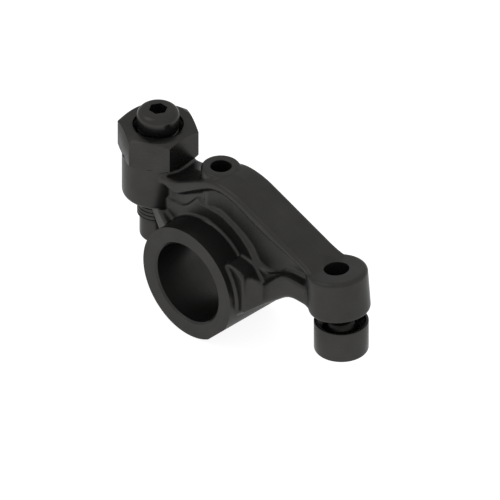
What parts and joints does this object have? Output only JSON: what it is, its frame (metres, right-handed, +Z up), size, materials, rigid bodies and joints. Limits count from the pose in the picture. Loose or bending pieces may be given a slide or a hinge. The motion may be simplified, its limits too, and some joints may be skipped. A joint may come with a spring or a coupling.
{
  "type": "rocker arm",
  "caption": "Forged rocker arm with a shaft bore, a screw and lock nut at the pushrod end and a swivel foot on a ball pin at the valve end.",
  "frame": {"origin": "on the axis of the shaft bore, halfway along the hub", "axes": "+X along the arm towards the valve end, +Y along the shaft, +Z up, away from the valve"},
  "size_m": [0.0753, 0.0226, 0.048],
  "materials": {
    "forging": "satin",
    "screw_steel": "satin",
    "nut_steel": "satin",
    "pin_steel": "polished",
    "foot_steel": "satin"
  },
  "bodies": {
    "rocker": {"rocker_body": "forging", "ball_pin": "pin_steel"},
    "screw": {"adjusting_screw": "screw_steel"},
    "nut": {"lock_nut": "nut_steel"},
    "foot": {"swivel_foot": "foot_steel"}
  },
  "joints": [
    {"name": "foot_swivel", "type": "hinge", "parent": "rocker", "child": "foot", "pos_m": [0.0395, 0, 0.0013], "axis": [0, 1, 0], "range_deg": [-10, 10]},
    {"name": "screw_adjust", "type": "slide", "parent": "rocker", "child": "screw", "axis": [0, 0, 1], "range_m": [-0.0025, 0.0025]},
    {"name": "nut_turn", "type": "hinge", "parent": "rocker", "child": "nut", "pos_m": [-0.0206, 0, 0.0257], "axis": [0, 0, 1], "continuous": true}
  ]
}
